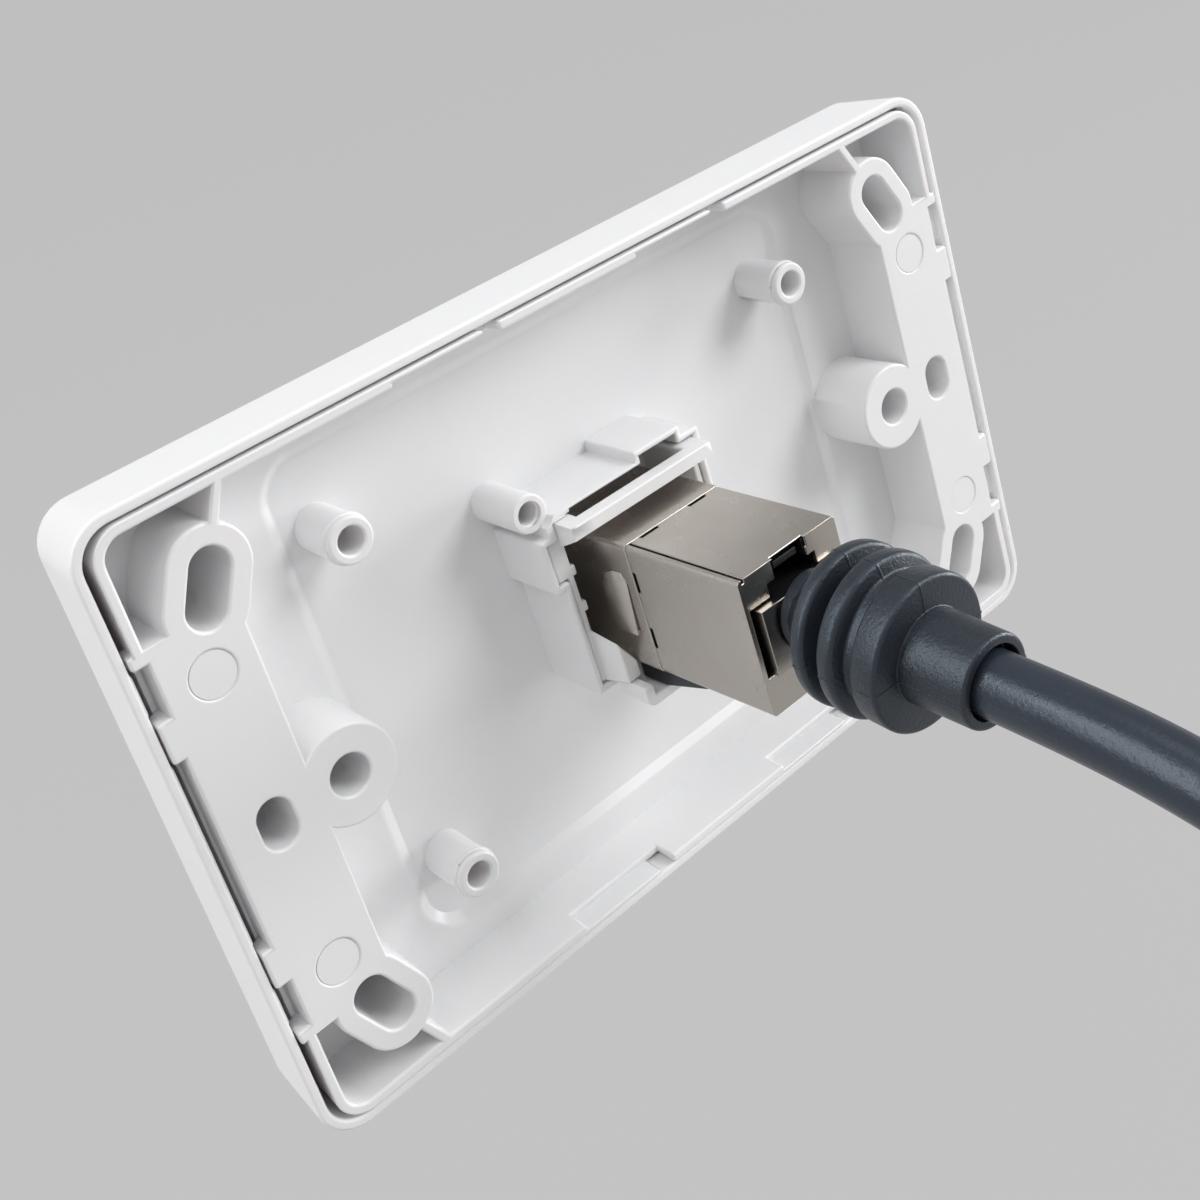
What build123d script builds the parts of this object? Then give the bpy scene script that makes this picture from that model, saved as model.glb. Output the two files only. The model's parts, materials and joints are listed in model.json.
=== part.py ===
from build123d import *
import math
import os

os.makedirs("parts", exist_ok=True)

# Millimetres. +X runs along the plate, +Z is up and -Y faces the room. The origin is midway between
# the two fixing holes, on the rear faces of the frame that bear on the wall.

# Plate
fixing_spacing = 84.0
end_margin = 16.6
plate_height = 73.4
plate_corner = 5.0
cover_depth = 12.0
cover_set = 0.3
cover_wall = 1.2
front_wall = 1.3
draft = 3.0
edge_round = 2.2
end_gap = 0.85
side_gap = 0.25
front_gap = 0.3
window_gap = 0.3
window_corner = 0.8

# Frame
rim_wall = 1.1
shelf_floor = 2.0
panel_floor = 1.1
panel_end_margin = 22.6
panel_side_margin = 7.6
panel_corner = 4.0
panel_ramp = 1.3
bar_overlap = 3.7
bar_side_margin = 13.5
bar_wall = 1.6
fixing_boss_radius = 5.5
fixing_hole_radius = 2.25
obround_width = 3.8
obround_height = 5.6
slot_from_hole = 5.8
slot_side_margin = 11.4
slot_travel = 3.94
slot_radius = 2.1
slot_boss_radius = 4.4
slot_lean = 27.2
corner_rib = 1.1
ejector_radius = 2.4
ejector_depth = 0.1
ejector_from_end = 5.7

# Snap fits between frame and cover
clip_depth = 3.0
clip_middle_margin = 11.8
clip_middle_cut = 0.5
clip_outer_from_end = 4.4
clip_outer_length = 5.8
clip_outer_cut = 0.9
pad_gap = 0.2
catch_reach = 0.35
catch_height = 1.2
catch_drop = 1.2
catch_play = 0.5
pry_start = 9.6
pry_length = 13.6
pry_cut = 0.6
pry_notch = 2.0

# Posts for a circuit board
post_from_hole = 9.9
post_side_margin = 15.5
post_radius = 2.6
post_collar = 0.2
post_collar_drop = 0.7
post_collar_height = 0.7
post_drop = 2.2
post_hole_radius = 1.5
post_hole_depth = 5.0

# Coupler ports and shells
plug_width = 11.7
plug_height = 7.6
plug_centre_z = 0.65
port_side_play = 0.6
port_play = 0.2
port_step_width = 7.0
port_step_rise = 1.5
port_key_width = 4.7
port_key_rise = 3.5
port_wall = 0.4
port_back_wall = 2.6
contact_room = 4.45
shell_sheet = 0.3
shell_gap = 0.05
shell_bend = 0.6
rear_inset = 0.1
coupler_length = 36.1
rear_shell_length = 17.6
seam_notch = 0.45
seam_notch_length = 2.5
flap_gap = 0.3
tab_length = 4.2
tab_height = 7.7
tab_drop = 0.9
tab_rise = 0.55
tab_centre_rise = 1.05
tab_slope = 0.4
board_thickness = 1.6
board_gap = 0.3

# Contacts
contact_count = 8
contact_pitch = 1.02
contact_width = 0.45
contact_thick = 0.3
trough_depth = 1.6
trough_margin = 0.6
contact_turn = 4.0
front_tip_room = 2.5
front_tip_rise = 2.6
rear_tip_room = 4.2
rear_tip_drop = 0.1

# Module frame and its housing
insert_side = 3.4
insert_top = 3.1
insert_base = 1.4
insert_wall = 0.8
insert_front = 1.8
insert_recess = 1.0
jack_gap = 0.1
insert_gap = 0.2
housing_wall = 0.8
housing_recess = 0.5
bump_rise = 1.3
side_bump_drop = 4.6
side_bump_length = 5.0
top_bump_x = -5.45
top_bump_length = 5.5
housing_post_radius = 2.05
housing_post_hole = 1.5
housing_post_recess = 1.5
bar_rear = 2.5
bar_thick = 2.0
bar_height = 1.6
bar_block_width = 2.4
bar_block_depth = 1.9
bar_block_rear = 0.9
gusset_height = 7.0
hook_width = 18.0
hook_wall = 1.3
hook_reach = 1.9
hook_rear = 4.5
hook_floor = 1.2
hook_clear = 0.1
hook_corner = 1.2
stop_rear = 2.2
stop_height = 2.0
stop_width = 1.9
nub_height = 1.3
nub_reach = 0.5
nub_z = (5.1, 0.5)

# Coupler latch
latch_width = 7.0
latch_tongue = 0.4
latch_tongue_length = 8.0
latch_clear = 0.1
latch_drop = 1.85
latch_land = 4.0
latch_length = 11.5
latch_end = 0.5

# Plug
plug_depth = 12.8
plug_length = 13.8
plug_sheet = 0.25
plug_gap = 0.05
plug_shield_start = 3.6
plug_pocket_start = 5.5
plug_pocket_wall = 1.2
blade_thick = 0.35
blade_length = 2.6
blade_height = 2.2
blade_from_nose = 0.5
guide_length = 4.0
guide_gap = 0.1
lever_start = 1.0
lever_length = 11.2
lever_wide_length = 4.0
lever_wide = 5.9
lever_narrow = 3.4
lever_thick = 0.8
lever_rise = 2.3

# Boot and cable
boot_droop = 4.1
boot_centre_z = 1.6
boot_width = 9.8
boot_height = 7.4
boot_chamfer = 1.6
boot_block_length = 1.6
boot_cone_length = 3.1
boot_cone_lean = 14.0
boot_neck_radius = 4.7
boot_disc_radii = (8.7, 8.8, 8.1)
boot_disc_starts = (4.6, 8.1, 11.7)
boot_disc_thick = (2.1, 2.1, 3.0)
boot_disc_round = 0.7
boot_length = 22.8
boot_mouth_depth = 1.5
boot_mouth_gap = 0.25
cable_diameter = 6.6
bore_gap = 0.1
boot_set = 0.35
crimp_gap = 0.35
crimp_length = 4.0
crimp_wall = 0.3
lead_length = 1000.0

# Cord route from inside the boot to the coil
route = [
    (0.0, 31.5, 1.13),
    (0.0, 50.5, -0.2),
    (0.0, 69.0, -3.2),
    (0.6, 88.0, -10.5),
    (1.9, 103.0, -26.0),
    (2.9, 111.0, -47.0),
    (3.3, 113.4, -71.0),
    (3.35, 113.6, -104.0),
]
coil_drop = 6.0
coil_turns = 4
coil_layers = 2
tail_length = 24.0
tie_width = 9.0
tie_thick = 1.0
tie_gap = 0.5

# Sizes that follow
hole_x = fixing_spacing / 2
half_length = hole_x + end_margin
half_height = plate_height / 2
slope = math.tan(math.radians(draft))
cover_rear = -cover_set
cover_front = cover_rear - cover_depth
cover_inner = cover_front + front_wall
frame_front = cover_inner + front_gap
shelf_y = frame_front + shelf_floor
panel_y = frame_front + panel_floor
bar_inner = hole_x + bar_overlap
bar_half = half_height - bar_side_margin
rim_end = half_length - cover_wall - end_gap
rim_side = half_height - cover_wall - side_gap
bar_middle = (bar_inner + rim_end - rim_wall) / 2

port_half = plug_width / 2 + port_side_play
port_low = plug_centre_z - plug_height / 2 - port_play
port_top = plug_centre_z + plug_height / 2 + port_play
jack_half = port_half + port_wall + shell_gap + shell_sheet
jack_low = port_low - contact_room
jack_high = port_top + port_key_rise + shell_sheet
jack_centre = (jack_low + jack_high) / 2
jack_rear = cover_front + coupler_length
seam_y = jack_rear - rear_shell_length
board_rear = seam_y - board_gap
board_front = board_rear - board_thickness
front_mouth = cover_front + shell_sheet + shell_gap
front_inner = board_front - shell_gap
rear_mouth = jack_rear - shell_sheet - shell_gap
rear_inner = board_rear + shell_gap
contact_xs = [(i - (contact_count - 1) / 2) * contact_pitch for i in range(contact_count)]
trough_half = contact_xs[-1] + trough_margin
trough_low = port_low - trough_depth

insert_half = jack_half + insert_side
insert_low = jack_low - insert_base
insert_high = jack_high + insert_top
insert_rear = -insert_recess
housing_rear = -housing_recess
side_bump_z = insert_high - side_bump_drop

plug_nose = jack_rear - plug_depth
plug_rear = plug_nose + plug_length
plug_low = plug_centre_z - plug_height / 2
plug_top = plug_centre_z + plug_height / 2
cable_radius = cable_diameter / 2


def area(x0, x1, z0, z1):
    return Pos((x0 + x1) / 2, (z0 + z1) / 2) * Rectangle(x1 - x0, z1 - z0)


def block(x0, x1, y0, y1, z0, z1):
    return Pos((x0 + x1) / 2, (y0 + y1) / 2, (z0 + z1) / 2) * Box(x1 - x0, y1 - y0, z1 - z0)


def prism(outline, rear, front, taper=0.0):
    # An outline in X and Z, extruded towards the room
    return extrude(Plane.XZ.offset(-rear) * outline, amount=rear - front, dir=(0, -1, 0), taper=taper)


def side_profile(outline, x0, x1):
    # An outline in Y and Z, extruded along X
    return extrude(Plane.YZ.offset(x0) * outline, amount=x1 - x0, dir=(1, 0, 0))


def plate_plan(end_inset, side_inset):
    corner = plate_corner - min(end_inset, side_inset)
    return RectangleRounded(2 * (half_length - end_inset), 2 * (half_height - side_inset), corner)


def insert_plan(grow):
    return area(-insert_half - grow, insert_half + grow, insert_low - grow, insert_high + grow)


def make_cover():
    shell = prism(plate_plan(0, 0), cover_rear, cover_front, draft)
    shell = fillet(shell.faces().sort_by(Axis.Y)[0].edges(), edge_round)
    shell -= prism(plate_plan(cover_wall, cover_wall), cover_rear, cover_inner, draft)
    window = insert_plan(window_gap)
    shell -= prism(fillet(window.vertices(), window_corner), cover_inner, cover_front)
    inner_end = half_length - cover_wall
    for z, length in clip_spans():
        catch = block(
            inner_end - catch_reach,
            inner_end + cover_wall / 2,
            -catch_drop - catch_height,
            -catch_drop,
            z - length / 2 + catch_play,
            z + length / 2 - catch_play,
        )
        shell += catch + mirror(catch, about=Plane.YZ)
    return shell


def clip_spans():
    # Centre and length of each clip recess along an end of the frame
    outer_z = bar_half - clip_outer_from_end
    return [
        (0.0, 2 * (bar_half - clip_middle_margin)),
        (outer_z, clip_outer_length),
        (-outer_z, clip_outer_length),
    ]


def slot_at(sx, sz, outline):
    # Places an outline drawn along +X on the slanted slot of one corner
    x = hole_x + slot_from_hole
    z = half_height - slot_side_margin
    shape = Pos(x, z) * Rot(Z=90 + slot_lean) * outline
    if sx < 0:
        shape = mirror(shape, about=Plane.YZ)
    if sz < 0:
        shape = mirror(shape, about=Plane.XZ)
    return shape


def make_end_bar(side, rim_solid):
    near = bar_inner
    far = half_length
    bar = block(near, far, frame_front, 0, -bar_half, bar_half)
    tubes = Pos(hole_x, 0) * Circle(fixing_boss_radius)
    tubes += Pos(bar_middle, 0) * RectangleRounded(
        obround_width + 2 * bar_wall, obround_height + 2 * bar_wall, obround_width / 2 + bar_wall - 0.01
    )
    for sz in (-1, 1):
        tubes += slot_at(1, sz, SlotCenterToCenter(slot_travel, 2 * slot_boss_radius))
    bar += prism(tubes, 0, frame_front)
    pocket_far = rim_end - rim_wall - (0 - frame_front) * slope
    pocket = area(near + bar_wall, pocket_far, -bar_half + bar_wall, bar_half - bar_wall)
    bar -= prism(pocket - tubes, -bar_wall, frame_front)
    wall_reach = slot_side_margin / math.cos(math.radians(slot_lean))
    for sz in (-1, 1):
        rib = slot_at(1, sz, Pos(wall_reach / 2, 0) * Rectangle(wall_reach, corner_rib))
        bar += prism(rib, 0, shelf_y - bar_wall)
    bar = bar & rim_solid
    if side < 0:
        bar = mirror(bar, about=Plane.YZ)
    return bar


def end_bar_holes():
    holes = Pos(hole_x, 0) * Circle(fixing_hole_radius)
    holes += Pos(bar_middle, 0) * RectangleRounded(obround_width, obround_height, obround_width / 2 - 0.01)
    for sz in (-1, 1):
        holes += slot_at(1, sz, SlotCenterToCenter(slot_travel, 2 * slot_radius))
    return holes + mirror(holes, about=Plane.YZ)


def make_post(x, z, foot):
    collar_top = -post_drop - post_collar_drop
    post = prism(Circle(post_radius), -post_drop, foot)
    post += prism(Circle(post_radius + post_collar), collar_top, collar_top - post_collar_height)
    post -= prism(Circle(post_hole_radius), -post_drop, -post_drop - post_hole_depth)
    return Pos(x, 0, z) * post


def housing_plan(grow):
    room = insert_gap + grow
    side_low = side_bump_z - side_bump_length / 2 - grow
    side_high = side_bump_z + side_bump_length / 2 + grow
    top_near = top_bump_x - top_bump_length / 2 - grow
    top_far = top_bump_x + top_bump_length / 2 + grow
    plan = insert_plan(room)
    plan += area(0, insert_half + room + bump_rise, side_low, side_high)
    plan += area(top_near, top_far, 0, insert_high + room + bump_rise)
    return plan


def make_frame():
    rim_solid = prism(plate_plan(half_length - rim_end, half_height - rim_side), 0, frame_front, draft)
    inner_end = half_length - rim_end + rim_wall
    inner_side = half_height - rim_side + rim_wall
    frame = rim_solid - prism(plate_plan(inner_end, inner_side), 0, shelf_y, draft)

    panel_length = 2 * (half_length - panel_end_margin)
    panel_width = 2 * (half_height - panel_side_margin)
    panel_edge = RectangleRounded(
        panel_length + 2 * panel_ramp, panel_width + 2 * panel_ramp, panel_corner + panel_ramp
    )
    ramp_lean = math.degrees(math.atan(panel_ramp / (shelf_y - panel_y)))
    frame -= prism(panel_edge, shelf_y, panel_y, ramp_lean)

    for side in (-1, 1):
        under = block(bar_inner, half_length, frame_front, shelf_y, -bar_half, bar_half)
        if side < 0:
            under = mirror(under, about=Plane.YZ)
        frame = frame - under + make_end_bar(side, rim_solid)
    frame -= prism(end_bar_holes(), 0, frame_front)

    snug = prism(plate_plan(cover_wall + pad_gap, cover_wall + pad_gap), 0, -clip_depth, draft)
    pads = block(rim_end - rim_wall, half_length, -clip_depth, 0, -bar_half, bar_half) & snug
    cuts = (clip_middle_cut, clip_outer_cut, clip_outer_cut)
    recesses = []
    for (z, length), cut in zip(clip_spans(), cuts):
        recesses.append(block(rim_end - cut, half_length, -clip_depth, 0, z - length / 2, z + length / 2))
    for side in (-1, 1):
        for shape in [pads] + recesses:
            placed = shape if side > 0 else mirror(shape, about=Plane.YZ)
            frame = frame + placed if shape is pads else frame - placed

    for x in (pry_start, -pry_start - pry_length):
        pry = area(x, x + pry_length, 0, rim_side - rim_wall + pry_cut)
        pry += area(x, x + pry_notch, 0, half_height)
        pry -= area(x, x + pry_length, 0, rim_side - rim_wall - pry_cut)
        cut = prism(pry, 0, -clip_depth)
        frame = frame - cut - mirror(cut, about=Plane.XY)

    ejector_z = bar_half - ejector_from_end
    for x in (-bar_middle, bar_middle):
        for z in (-ejector_z, ejector_z):
            frame -= Pos(x, 0, z) * prism(Circle(ejector_radius), 0, -ejector_depth)

    post_x = hole_x - post_from_hole
    post_z = half_height - post_side_margin
    for x in (-post_x, post_x):
        for z in (-post_z, post_z):
            frame += make_post(x, z, panel_y - panel_floor / 2)

    frame += prism(housing_plan(housing_wall), housing_rear, panel_y - panel_floor / 2)
    corner_x = insert_half + insert_gap + housing_wall
    corner_z = insert_high + insert_gap + housing_wall
    corner_post = prism(Circle(housing_post_radius), -housing_post_recess, panel_y - panel_floor / 2)
    corner_post -= prism(Circle(housing_post_hole), -housing_post_recess, panel_y)
    frame += Pos(corner_x, 0, corner_z) * corner_post
    frame -= prism(housing_plan(0), housing_rear, panel_y)
    frame -= prism(insert_plan(insert_gap), housing_rear, frame_front)
    return frame


def make_insert():
    insert = prism(insert_plan(0), insert_rear, cover_front)
    insert -= prism(insert_plan(-insert_wall), insert_rear, cover_front + insert_front)

    # Gussets climb from the side walls to a block under each lower corner of the coupler
    gusset_foot = jack_half + jack_gap
    wall_x = insert_half - insert_wall / 2
    inner_front = cover_front + insert_front
    gusset_plan = Polygon(
        (wall_x, insert_low),
        (gusset_foot, insert_low),
        (gusset_foot, insert_low + stop_height),
        (wall_x, insert_low + gusset_height),
        align=None,
    )
    gusset = prism(gusset_plan, stop_rear, inner_front)
    gusset_cut = Polygon(
        (wall_x, insert_rear), (wall_x, stop_rear), (gusset_foot + stop_width, stop_rear), align=None
    )
    gusset -= extrude(Plane.XY.offset(insert_low) * gusset_cut, amount=gusset_height, dir=(0, 0, 1))
    insert += gusset + mirror(gusset, about=Plane.YZ)

    wing_room = insert_gap / 2
    wing_low = side_bump_z - side_bump_length / 2 + wing_room
    wing_high = side_bump_z + side_bump_length / 2 - wing_room
    wing_x = insert_half + bump_rise
    insert += block(insert_half - insert_wall, wing_x, shelf_y, insert_rear, wing_low, wing_high)
    for z in nub_z:
        nub_x = insert_half - insert_wall - nub_reach
        low = z - nub_height / 2
        insert += block(nub_x, insert_half - insert_wall / 2, shelf_y, insert_rear, low, low + nub_height)

    bar_low = insert_high - bar_height
    bar_half_width = insert_half - insert_wall / 2
    bar_end = bar_half_width - bar_block_width
    insert += block(-bar_half_width, bar_end, bar_rear - bar_thick, bar_rear, bar_low, insert_high)
    insert += block(-bar_half_width, -bar_end, -bar_block_depth, bar_rear, bar_low, insert_high)
    insert += block(bar_end, bar_half_width, -bar_block_depth, bar_block_rear, bar_low, insert_high)

    hook_high = insert_low + insert_wall
    hook_outer = insert_low - insert_gap - housing_wall - hook_reach
    hook_under = housing_rear + hook_clear
    hook_plan = area(-hook_width / 2, hook_width / 2, hook_outer, hook_high)
    hook_plan = fillet(hook_plan.vertices().sort_by(Axis.Y)[:2], hook_corner)
    hook = prism(hook_plan, hook_rear, hook_under)
    hook -= block(
        -hook_width / 2 + hook_wall,
        hook_width / 2 - hook_wall,
        hook_under + hook_floor,
        hook_rear,
        hook_outer + hook_wall,
        hook_high,
    )
    hook -= block(
        -hook_width / 2 - hook_wall,
        hook_width / 2 + hook_wall,
        hook_under + hook_floor,
        hook_rear,
        insert_low - insert_gap,
        hook_high,
    )
    insert += hook
    insert += block(-hook_width / 2, hook_width / 2, insert_rear, hook_under + hook_floor, insert_low, hook_high)
    insert -= prism(jack_plan(jack_gap), insert_rear, cover_front)
    return insert


def jack_plan(grow):
    return area(-jack_half - grow, jack_half + grow, jack_low - grow, jack_high + grow)


def port_plan():
    plan = area(-port_half, port_half, port_low, port_top)
    plan += area(-port_step_width / 2, port_step_width / 2, port_low, port_top + port_step_rise)
    plan += area(-port_key_width / 2, port_key_width / 2, port_low, port_top + port_key_rise)
    return plan


def bent_plan(inset):
    # Section of the coupler inside its bent sheet
    plan = jack_plan(-inset)
    return fillet(plan.vertices(), max(shell_bend - inset, 0.1))


def bent_box(inset, rear, front):
    return prism(bent_plan(inset), rear, front)


def make_front_shell():
    shell = bent_box(0, seam_y, cover_front)
    shell -= bent_box(shell_sheet, seam_y, cover_front + shell_sheet)
    shell -= prism(port_plan(), cover_front + shell_sheet, cover_front)
    # Pressed tab on each side: flush at its top and standing out at its lower, slanted end
    tab_low = jack_centre + tab_centre_rise - tab_height / 2
    tab_wedge = Polygon(
        (jack_half - shell_sheet / 2, tab_low + tab_height),
        (jack_half, tab_low + tab_height),
        (jack_half + tab_rise, tab_low),
        (jack_half - shell_sheet / 2, tab_low),
        align=None,
    )
    tab = prism(tab_wedge, seam_y - tab_drop, seam_y - tab_drop - tab_length)
    tab_slant = Polygon(
        (seam_y - tab_drop, tab_low),
        (seam_y - tab_drop - tab_length, tab_low + tab_length * tab_slope),
        (seam_y - tab_drop - tab_length, tab_low),
        align=None,
    )
    tab -= side_profile(tab_slant, 0, jack_half + 2 * tab_rise)
    return shell + tab + mirror(tab, about=Plane.YZ)


def make_rear_shell():
    shell = bent_box(rear_inset, jack_rear, seam_y)
    shell -= bent_box(rear_inset + shell_sheet, jack_rear - shell_sheet, seam_y)
    shell -= prism(port_plan(), jack_rear, jack_rear - shell_sheet)
    gap_x = jack_half - rear_inset - shell_bend - flap_gap
    shell -= block(gap_x, gap_x + flap_gap, seam_y, jack_rear, jack_high - 2 * shell_sheet, jack_high)
    for z in (jack_centre - rear_shell_length / 5, jack_centre + rear_shell_length / 5):
        side_cut = block(
            -jack_half,
            jack_half,
            seam_y,
            seam_y + seam_notch,
            z - seam_notch_length / 2,
            z + seam_notch_length / 2,
        )
        shell -= side_cut
    for x in (-jack_half / 2, jack_half / 2):
        top_cut = block(
            x - seam_notch_length / 2,
            x + seam_notch_length / 2,
            seam_y,
            seam_y + seam_notch,
            jack_centre,
            jack_high,
        )
        shell -= top_cut
    return shell


def make_core(mouth, inner, side_inset):
    # One port block. The port opens at the mouth, and the contact trough runs back to the board.
    inset = side_inset + shell_sheet + shell_gap
    rear = max(mouth, inner)
    front = min(mouth, inner)
    core = prism(bent_plan(inset), rear, front)
    floor_y = inner + port_back_wall if mouth > inner else inner - port_back_wall
    core -= prism(port_plan(), max(mouth, floor_y), min(mouth, floor_y))
    lip = mouth - trough_margin if mouth > inner else mouth + trough_margin
    trough = area(-trough_half, trough_half, trough_low, port_low)
    core -= prism(trough, max(lip, inner), min(lip, inner))
    return core


def strip(y0, z0, y1, z1, thick):
    # A straight strip between two points of Y and Z, half its thickness longer at each end
    length = math.hypot(y1 - y0, z1 - z0) + thick
    lean = math.degrees(math.atan2(z1 - z0, y1 - y0))
    return Pos((y0 + y1) / 2, (z0 + z1) / 2) * Rot(Z=lean) * Rectangle(length, thick)


def make_contacts(inner, mouth, tip_room, tip_z):
    # Springs lie in the trough, turn back behind the mouth and end over the port's floor
    toward = 1 if mouth > inner else -1
    leg_z = trough_low + contact_thick / 2 + shell_gap
    rise_z = port_low - contact_thick
    start_y = inner + toward * contact_thick
    turn_y = mouth - toward * contact_turn
    rise_y = turn_y - toward * (rise_z - leg_z) / 2
    tip_y = inner + toward * (port_back_wall + tip_room)
    outline = strip(start_y, leg_z, turn_y, leg_z, contact_thick)
    outline += strip(turn_y, leg_z, rise_y, rise_z, contact_thick)
    outline += strip(rise_y, rise_z, tip_y, tip_z, contact_thick)
    springs = [side_profile(outline, x - contact_width / 2, x + contact_width / 2) for x in contact_xs]
    return Compound(children=springs)


def make_latch():
    top = jack_low - latch_clear
    hook_under = housing_rear + hook_clear
    heel = hook_under + hook_floor + latch_clear
    outline = Polygon(
        (heel - latch_tongue_length, top),
        (heel - latch_tongue_length, top - latch_tongue),
        (heel, top - latch_tongue),
        (heel, top - latch_drop),
        (heel + latch_land, top - latch_drop),
        (heel + latch_length, top - latch_end),
        (heel + latch_length, top),
        align=None,
    )
    return side_profile(outline, -latch_width / 2, latch_width / 2)


def make_board():
    return prism(bent_plan(rear_inset + shell_sheet + shell_gap), board_rear, board_front)


def make_plug_body():
    # Local Y runs from the nose to the rear, with the latch lever on top
    inset = plug_sheet + plug_gap
    half = plug_width / 2 - inset
    end = plug_length - inset
    body = block(-half, half, 0, end, plug_low + inset, plug_top - inset)
    nose_half = plug_width / 2
    body += block(-nose_half, nose_half, 0, plug_shield_start - plug_gap, plug_low, plug_top)
    pocket = block(
        -half + plug_pocket_wall,
        half - plug_pocket_wall,
        plug_pocket_start,
        end,
        plug_low + inset + plug_pocket_wall,
        plug_top - inset - plug_pocket_wall,
    )
    body -= pocket
    for x in contact_xs:
        body -= block(
            x - blade_thick / 2 - plug_gap,
            x + blade_thick / 2 + plug_gap,
            blade_from_nose,
            blade_from_nose + blade_length + 2 * plug_gap,
            plug_low,
            plug_low + blade_height + plug_gap,
        )
    lever_top = plug_top + lever_rise
    rate = lever_rise / lever_length
    wide_end = lever_start + lever_wide_length
    root = plug_top - inset
    wide_z = plug_top + lever_wide_length * rate
    wide = Polygon(
        (lever_start - lever_thick, root),
        (lever_start, plug_top + lever_thick),
        (wide_end, wide_z + lever_thick),
        (wide_end, wide_z),
        (lever_start + lever_thick, plug_top),
        (lever_start + lever_thick, root),
        align=None,
    )
    narrow = Polygon(
        (wide_end - lever_thick, wide_z - lever_thick * rate + lever_thick),
        (lever_start + lever_length, lever_top + lever_thick),
        (lever_start + lever_length, lever_top),
        (wide_end - lever_thick, wide_z - lever_thick * rate),
        align=None,
    )
    body += side_profile(wide, -lever_wide / 2, lever_wide / 2)
    body += side_profile(narrow, -lever_narrow / 2, lever_narrow / 2)
    return body


def make_plug_shield():
    half = plug_width / 2
    shield = block(-half, half, plug_shield_start, plug_length, plug_low, plug_top)
    inner = half - plug_sheet
    shield -= block(-inner, inner, plug_shield_start, plug_length, plug_low + plug_sheet, plug_top - plug_sheet)
    slot_half = lever_wide / 2 + plug_gap
    shield -= block(-slot_half, slot_half, plug_shield_start, plug_length, plug_top - plug_sheet, plug_top)
    crimp_radius = cable_radius + bore_gap / 2 + crimp_wall
    wall_start = plug_length - plug_sheet
    end_wall = block(-half, half, wall_start, plug_length, plug_low, plug_top)
    tube = Pos(0, 0, boot_centre_z) * prism(Circle(crimp_radius), plug_length + crimp_length, wall_start)
    bore = prism(Circle(crimp_radius - crimp_wall), plug_length + crimp_length, wall_start)
    return shield + end_wall + tube - Pos(0, 0, boot_centre_z) * bore


def make_plug_contacts():
    blades = []
    for x in contact_xs:
        blade = block(
            x - blade_thick / 2,
            x + blade_thick / 2,
            blade_from_nose + plug_gap,
            blade_from_nose + plug_gap + blade_length,
            plug_low + plug_gap,
            plug_low + blade_height,
        )
        blades.append(blade)
    return Compound(children=blades)


def make_wire_guide():
    inset = plug_sheet + plug_gap
    half = plug_width / 2 - inset - plug_pocket_wall - guide_gap
    low = plug_low + inset + plug_pocket_wall + guide_gap
    high = plug_top - inset - plug_pocket_wall - guide_gap
    start = plug_pocket_start + guide_gap
    guide = block(-half, half, start, start + guide_length, low, high)
    middle = (low + high) / 2
    for x in contact_xs:
        wire = area(x - contact_width, x + contact_width, middle - contact_width, middle + contact_width)
        guide -= prism(wire, start + guide_length, start)
    return guide


def make_boot():
    # Local Y runs along the boot from its front face to its mouth
    block_plan = Rectangle(boot_width, boot_height)
    block_plan = chamfer(block_plan.vertices(), boot_chamfer)
    cone_end = boot_block_length + boot_cone_length
    boot = prism(block_plan, boot_block_length, 0)
    cone_plan = Plane.XZ.offset(-boot_block_length) * block_plan
    boot += extrude(cone_plan, amount=boot_cone_length, dir=(0, 1, 0), taper=-boot_cone_lean)
    boot += prism(Circle(boot_neck_radius), boot_length, boot_block_length)
    for radius, start, thick in zip(boot_disc_radii, boot_disc_starts, boot_disc_thick):
        disc = prism(Circle(radius), start + thick, start)
        boot += chamfer(disc.edges(), boot_disc_round)
    bore = cable_radius + bore_gap
    boot -= prism(Circle(bore), boot_length, 0)
    boot -= prism(Circle(bore + boot_mouth_gap), boot_length, boot_length - boot_mouth_depth)
    crimp_room = cable_radius + bore_gap / 2 + crimp_wall + crimp_gap
    boot -= prism(Circle(crimp_room), crimp_length, 0)
    return boot


def tangent_path(points):
    radii = []
    for before, corner, after in zip(points, points[1:], points[2:]):
        first = Vector(*corner) - Vector(*before)
        second = Vector(*after) - Vector(*corner)
        half_turn = math.radians(first.get_angle(second)) / 2
        shorter = min(first.length, second.length)
        radii.append(0.45 * shorter / math.tan(half_turn))
    print("bend radii", [round(radius, 1) for radius in radii])
    return FilletPolyline(*points, radius=radii)


def make_tube(path):
    section = Plane(origin=path @ 0, z_dir=path % 0) * Circle(cable_radius)
    tube = sweep(section, path=path)
    ratio = tube.volume / (math.pi * cable_radius**2 * path.length)
    print("tube length", round(path.length, 1), "volume over section times length", round(ratio, 4))
    return tube


# The plug stands in the rear port, and its boot droops a little behind it
plug_place = Pos(0, plug_nose, 0)
boot_place = Pos(0, plug_rear + boot_set, boot_centre_z) * Rot(X=-boot_droop)

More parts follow.
